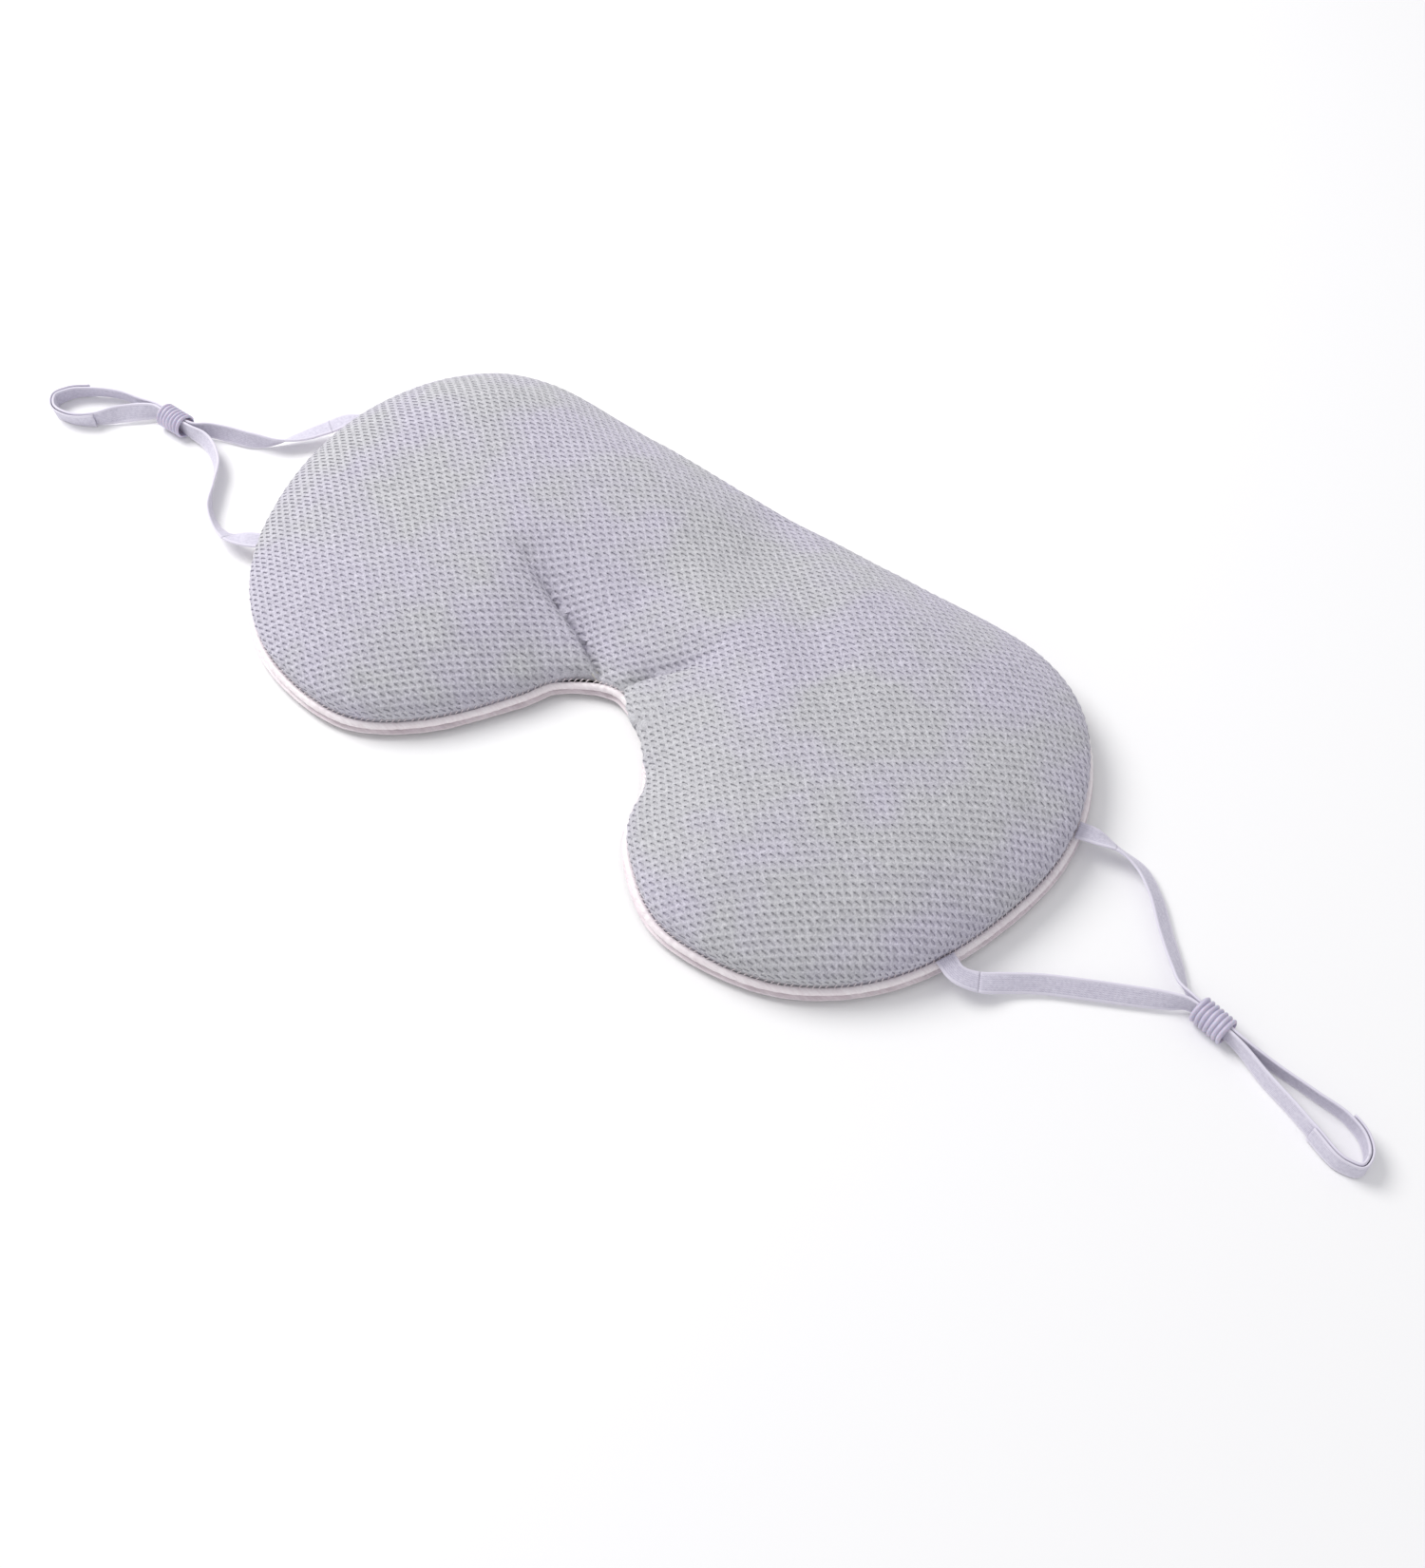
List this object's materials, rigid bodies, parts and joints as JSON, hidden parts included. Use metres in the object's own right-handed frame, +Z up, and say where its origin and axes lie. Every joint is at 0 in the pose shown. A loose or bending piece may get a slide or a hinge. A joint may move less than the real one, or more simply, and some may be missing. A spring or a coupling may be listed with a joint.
{
  "type": "sleep eye mask",
  "caption": "Padded two-lobed sleep eye mask with a mesh face, satin piping and lining, a nose notch, and flat elastic ear loops with ribbed sliding stoppers.",
  "frame": {"origin": "on the surface the mask lies on, under the middle of the mask without its ear loops", "axes": "+X along the mask to the end on the right when it is seen from its mesh face with the brow edge at the top, +Y towards the brow edge, +Z up out of the mesh face"},
  "size_m": [0.37, 0.115, 0.0169],
  "materials": {
    "mesh": "matte spacer mesh with rows of small slits",
    "padding": "soft matte wadding",
    "blackout": "matte woven blackout cloth",
    "satin": "smooth satin with a soft sheen",
    "thread": "matte sewing thread",
    "elastic": "matte flat woven elastic",
    "stopper": "matte silicone"
  },
  "bodies": {
    "mask": {"front_mesh_panel": "mesh", "filling_pad": "padding", "blackout_layer": "blackout", "back_lining": "satin", "piping_cover": "satin", "piping_cord": "padding", "seam_thread": "thread"},
    "right_ear_loop": {"right_upper_elastic": "elastic", "right_lower_elastic": "elastic", "right_joining_strip": "elastic"},
    "right_stopper": {"right_stopper": "stopper"},
    "left_ear_loop": {"left_upper_elastic": "elastic", "left_lower_elastic": "elastic", "left_joining_strip": "elastic"},
    "left_stopper": {"left_stopper": "stopper"}
  },
  "joints": [
    {"name": "right_loop_swing", "type": "hinge", "parent": "mask", "child": "right_ear_loop", "pos_m": [0.1037, -0.0033, 0.0044], "axis": [-0.1335, -0.991, 0], "range_deg": [-90, 90], "deforming": ["right_upper_elastic", "right_lower_elastic"]},
    {"name": "right_stopper_slide", "type": "slide", "parent": "right_ear_loop", "child": "right_stopper", "axis": [0.9806, -0.1961, 0], "range_m": [-0.02, 0.022]},
    {"name": "left_loop_swing", "type": "hinge", "parent": "mask", "child": "left_ear_loop", "pos_m": [-0.10325, -0.0055, 0.0044], "axis": [-0.1654, 0.9862, 0], "range_deg": [-90, 90], "deforming": ["left_upper_elastic", "left_lower_elastic"]},
    {"name": "left_stopper_slide", "type": "slide", "parent": "left_ear_loop", "child": "left_stopper", "axis": [-1, 0, 0], "range_m": [-0.02, 0.022]}
  ]
}
